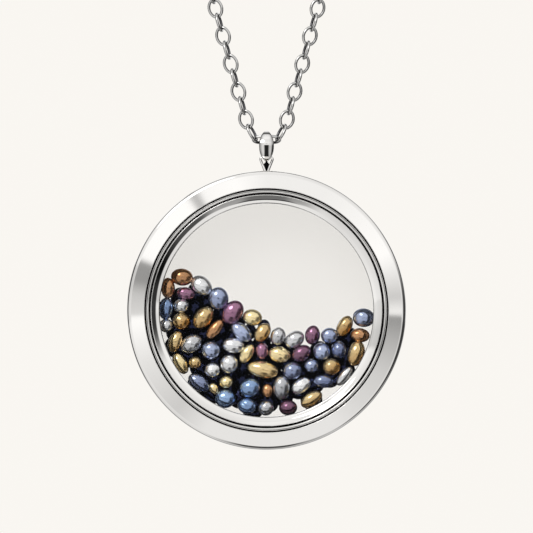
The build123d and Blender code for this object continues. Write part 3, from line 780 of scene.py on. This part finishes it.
# Radii and depths in millimetres, each with its corner's rounding and how much shade is painted there
caseRows = [
    (13.10, 0.00, 0.06, 0.0), (15.00, 0.16, 0.45, 0.0), (15.00, 7.08, 0.30, 0.0), (11.75, 7.20, 0.12, 0.0),
    (11.75, 6.40, 0.05, 0.3), (12.25, 6.40, 0.03, 0.5), (12.25, 1.85, 0.05, 0.3), (13.10, 1.85, 0.05, 1.0),
    (13.10, 0.10, 0.02, 1.0),
]
ringRows = [
    (13.02, 1.80, 0.03, 1.0), (13.02, 0.36, 0.02, 1.0), (12.96, 0.34, 0.02, 0.9), (12.94, 0.23, 0.01, 0.2),
    (12.89, 0.22, 0.01, 0.1), (12.87, 0.30, 0.02, 0.85), (12.83, 0.25, 0.02, 0.2), (12.68, 0.28, 0.03, 0.2),
    (12.62, 0.36, 0.02, 1.0), (12.60, 0.62, 0.03, 1.0), (12.49, 0.62, 0.03, 1.0), (12.46, 0.345, 0.03, 0.1),
    (12.38, 0.33, 0.03, 0.05), (11.93, 0.59, 0.12, 0.0), (11.58, 0.665, 0.03, 0.0), (11.54, 0.71, 0.02, 0.4),
    (11.50, 0.73, 0.02, 0.1), (11.50, 0.95, 0.02, 0.6), (12.25, 0.95, 0.02, 0.6), (12.25, 1.80, 0.03, 0.6),
]


# A turned piece from such rows: every point that eases a corner takes that corner's painted shade
def turnedPiece(name, rows):
    radii, depths, rounds, shadeShares = np.array(rows).T
    profile = easedOutline(np.stack([radii * mm, caseFront + depths * mm], axis=1), rounds * mm)
    paintedShade = np.tile(np.repeat(shadeShares, len(profile) // len(rows)), turnSet["around"])
    faces = gridFaces(turnSet["around"], len(profile))
    return addPiece(name, turned(profile), faces, caseSteel, {"paintedShade": paintedShade})


caseRing = turnedPiece("case_ring", caseRows)
windowRing = turnedPiece("screw_in_window_ring", ringRows)
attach(caseRing, "locket")
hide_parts("locket_body")
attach(windowRing, "window")
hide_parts("window_ring")
print("case and window ring turned")

# Loop: its wire's line is a triangle with eased corners on its tip, whose points each carry a circle
loopSet = {"wire": 0.28 * mm, "width": 1.48 * mm, "height": 1.54 * mm, "foot": 0.35 * mm,
           "corner": 0.30 * mm, "about": 14}
caseTop = locketZ + caseRadius
loopTop = caseTop + loopSet["height"]
tips = [(-loopSet["width"] / 2, loopTop), (0, caseTop - loopSet["foot"]), (loopSet["width"] / 2, loopTop)]
loopLine = easedOutline(tips, [loopSet["corner"]] * 3)
ahead = unitRows(np.roll(loopLine, -1, axis=0) - np.roll(loopLine, 1, axis=0))
about = turnAngles(loopSet["about"])[None, :]
sideways, through = (loopSet["wire"] / 2 * wave(about) for wave in (np.cos, np.sin))
loopX = loopLine[:, :1] + sideways * ahead[:, 1:]
loopZ = loopLine[:, 1:] - sideways * ahead[:, :1]
loopPoints = np.stack([loopX, np.broadcast_to(through, loopX.shape), loopZ], axis=-1).reshape(-1, 3)
hangingLoop = addPiece("soldered_loop", loopPoints, gridFaces(*loopX.shape), caseSteel)
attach(hangingLoop, "locket")
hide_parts("locket_body")

# The solder that fills the loop's foot: half sizes times the directions over a ball, its colour all painted
# shade
solderSet = {"halves": (0.36 * mm, 0.10 * mm, 0.62 * mm), "rise": 0.46 * mm}
solderPoints = directions * solderSet["halves"] + [0, 0, caseTop + solderSet["rise"]]
solder = addPiece("loop_solder", solderPoints, ballFaces, caseSteel, {"paintedShade": np.ones(len(directions))})
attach(solder, "locket")
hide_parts("locket_body")

# The bail: a ring about the X axis. Its outer radius is the soft least of R and
# R cos(half) / cos(angle from the slope), the inner one follows it in part, and across it the
# dome falls by the square of the share of the half width, with an eased edge.
bailSet = {
    "around": 128,
    "wall": 0.27 * mm,
    "dome": 0.12 * mm,
    "slope": np.radians(20),  # the flat slope's angle, and half of what it spans of the turn
    "slopeHalf": np.radians(28),
    "leastCosine": 0.3,
    "soft": 0.02 * mm,
    "follow": 0.75,  # share of the slope's cut that the inner side follows
    "edge": 0.05 * mm,
    "edgeFrom": 0.88,  # share of the half width where the eased edge begins
    "tip": 0.07 * mm,  # the least half width
    "across": (0, 0.3, 0.6, 0.88, 0.95, 0.985, 1.0),  # shares of the half width with points
    "insideAcross": (1.0, 0.9, 0.0, -0.9, -1.0),
    "wallShares": (0.1, 0.9),
    # darkAcross and sideDark paint shade on the bail: darker towards the edges of its face and on its side
    # walls, for the dark room they would mirror
    "darkAcross": ((0.3, 0.7, 0.88, 0.985), (0, 0.20, 0.80, 1)),  # share of the half width, darkness
    "sideDark": 0.80,
}
ringRadius = (bailHigh[1] - bailLow[1]) / 2
halfWidth = (bailHigh[0] - bailLow[0]) / 2
turnBy = turnAngles(bailSet["around"])
dip = -np.arcsin(np.sin(turnBy))
fromSlope = np.maximum(np.cos(dip - bailSet["slope"]), bailSet["leastCosine"])
chord = ringRadius * np.cos(bailSet["slopeHalf"]) / fromSlope
cutAway = bailSet["soft"] * np.log1p(np.exp((ringRadius - chord) / bailSet["soft"]))
outer = ringRadius - cutAway
inner = ringRadius - bailSet["wall"] - bailSet["follow"] * cutAway


# The bail's half width at the height z: w sqrt(1 - z^2 / R^2) above, as an ellipse, and
# sqrt(A^2 - z^2) - A + w below, as an arc of the radius A that ends in the lower tip
def outlineHalf(z):
    z = np.clip(z, -ringRadius, ringRadius)
    arc = (ringRadius ** 2 + halfWidth ** 2) / (2 * halfWidth)
    above = halfWidth * np.sqrt(1 - (z / ringRadius) ** 2)
    below = np.sqrt(arc ** 2 - z ** 2) - arc + halfWidth
    return np.maximum(np.where(z > 0, above, below), bailSet["tip"])[:, None]


# Points of a side wall, at shares of the way from one face's edge to the other's
def wallBetween(edge, otherEdge):
    share = np.array(bailSet["wallShares"])[None, :, None]
    return edge * (1 - share) + otherEdge * share


across = np.array(bailSet["across"])
across = np.concatenate([-across[:0:-1], across])[None]
eased = 1 - np.sqrt(1 - placeBetween(np.abs(across), (bailSet["edgeFrom"], 1)) ** 2)
outerX = across * outlineHalf(outer * np.sin(turnBy))
outerR = outer[:, None] - bailSet["dome"] * (outerX / halfWidth) ** 2 - bailSet["edge"] * eased
innerX = np.array([bailSet["insideAcross"]]) * outlineHalf(inner * np.sin(turnBy))
outerFace = np.stack([outerX, outerR], axis=-1)
innerFace = np.stack([innerX, np.broadcast_to(inner[:, None], innerX.shape)], axis=-1)
down = wallBetween(outerFace[:, -1:], innerFace[:, :1])
up = wallBetween(innerFace[:, -1:], outerFace[:, :1])
ringX, ringR = np.moveaxis(np.concatenate([outerFace, down, innerFace, up], axis=1), -1, 0)
ringZ = ringR * np.sin(turnBy)[:, None] + bailHigh[2] - ringRadius
bailPoints = np.stack([ringX, -ringR * np.cos(turnBy)[:, None], ringZ], axis=-1).reshape(-1, 3)
# Painted shade across the bail's face and on its side walls
faceDark = np.interp(np.abs(across[0]), *bailSet["darkAcross"])
sideDark = np.concatenate([faceDark, np.ones(ringX.shape[1] - len(faceDark))]) * bailSet["sideDark"]
domedBail = addPiece("domed_bail", bailPoints, gridFaces(*ringX.shape), caseSteel,
                     {"paintedShade": np.tile(sideDark, bailSet["around"])})
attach(domedBail, "bail")
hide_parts("bail")
print("loop and bail bent")

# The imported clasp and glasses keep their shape
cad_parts["clasp"].material_slots[0].material = wireSteel
for node in ("front_glass", "back_glass"):
    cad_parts[node].material_slots[0].material = clearGlass
print("clasp and glasses finished")
